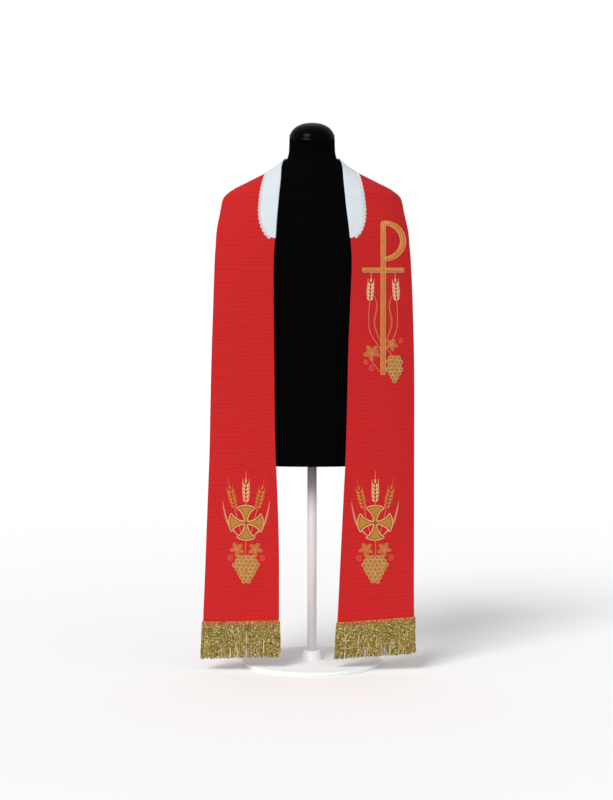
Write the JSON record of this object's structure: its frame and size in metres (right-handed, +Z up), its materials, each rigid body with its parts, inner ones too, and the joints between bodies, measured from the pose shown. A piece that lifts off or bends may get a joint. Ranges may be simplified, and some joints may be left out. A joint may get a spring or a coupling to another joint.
{
  "type": "clerical stole on a limbless dress form",
  "caption": "Long cloth stole with a white collar guard, lace edge, embroidered crosses and fringed ends, draped over a black limbless dress form on a round base.",
  "frame": {"origin": "on the floor, at the centre of the stand base's flat underside", "axes": "+Z up the stand's pole, -Y towards the front where both bands hang, +X to the right as seen from the front"},
  "size_m": [0.502, 0.33, 1.2758],
  "materials": {
    "red_cloth": "fine ribbed weave, matt",
    "white_cotton": "plain woven cotton",
    "white_lace": "openwork cotton lace",
    "gold_fringe": "twisted metallic thread",
    "gold_braid": "woven metallic braid",
    "gold_satin": "satin stitch",
    "black_jersey": "matt stretch jersey",
    "black_plastic": "satin",
    "white_steel": "white powder coat"
  },
  "bodies": {
    "root": {"stole_left": "red_cloth", "stole_right": "red_cloth", "collar_guard": "white_cotton", "collar_lace": "white_lace", "fringe_left": "gold_fringe", "fringe_right": "gold_fringe", "braid_left": "gold_braid", "braid_right": "gold_braid", "cross_left": "gold_satin", "cross_right": "gold_satin", "torso": "black_jersey", "neck_cap": "black_plastic", "stand_pole": "white_steel", "stand_base": "white_steel"}
  },
  "joints": []
}
